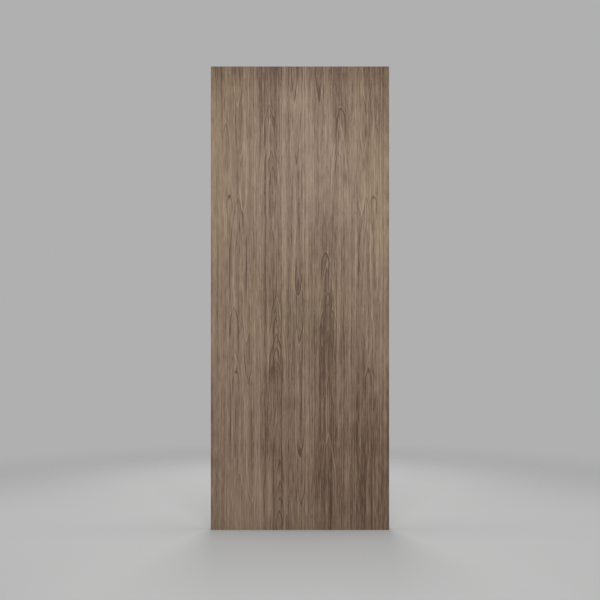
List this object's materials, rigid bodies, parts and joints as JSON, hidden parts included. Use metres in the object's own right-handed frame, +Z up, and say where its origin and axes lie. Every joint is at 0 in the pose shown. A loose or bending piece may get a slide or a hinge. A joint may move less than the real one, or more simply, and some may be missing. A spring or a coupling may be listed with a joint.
{
  "type": "oak veneered flush door leaf",
  "caption": "Plain flush door leaf: solid core in a framed surround, lipped long edges and crown-cut oak veneer on each face, square top and foot.",
  "frame": {"origin": "on the flat outer face of the hinge edge, halfway through the thickness, at the foot of the door", "axes": "+X across the door from the hinge edge to the lock edge, +Y from the front face to the back face, +Z up the door"},
  "size_m": [0.762, 0.044, 1.981],
  "materials": {
    "oak_veneer": "matt lacquered",
    "oak_lipping": "matt lacquered",
    "frame_softwood": "sawn and sanded",
    "crossband_fibreboard": "sanded edge",
    "core_board": "raw board"
  },
  "bodies": {
    "root": {"core": "core_board", "hinge_stile": "frame_softwood", "lock_stile": "frame_softwood", "bottom_rail": "frame_softwood", "top_rail": "frame_softwood", "front_crossband": "crossband_fibreboard", "back_crossband": "crossband_fibreboard", "hinge_lipping": "oak_lipping", "lock_lipping": "oak_lipping", "front_veneer_1": "oak_veneer", "front_veneer_2": "oak_veneer", "front_veneer_3": "oak_veneer", "front_veneer_4": "oak_veneer", "back_veneer_1": "oak_veneer", "back_veneer_2": "oak_veneer", "back_veneer_3": "oak_veneer", "back_veneer_4": "oak_veneer"}
  },
  "joints": []
}
